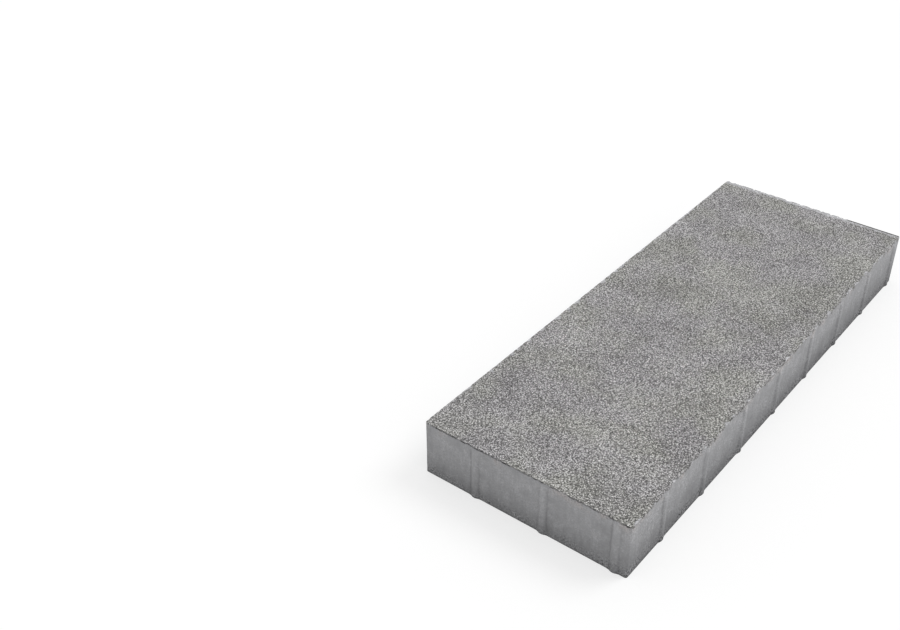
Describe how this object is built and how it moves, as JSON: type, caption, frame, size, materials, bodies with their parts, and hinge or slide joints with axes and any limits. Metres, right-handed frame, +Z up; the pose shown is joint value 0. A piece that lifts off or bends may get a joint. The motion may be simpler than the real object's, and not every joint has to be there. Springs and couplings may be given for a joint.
{
  "type": "concrete paving slab",
  "caption": "Long rectangular concrete paving slab with a fine exposed-grain top and low vertical spacer ribs on all four edges.",
  "frame": {"origin": "middle of the underside, on the bed", "axes": "+Z up to the trafficked top, +Y along the slab's length, X across its width"},
  "size_m": [0.3, 0.8, 0.08],
  "materials": {
    "concrete": "matt cast concrete, the top washed or blasted to its fine grains"
  },
  "bodies": {
    "root": {"paving_slab": "concrete"}
  },
  "joints": []
}
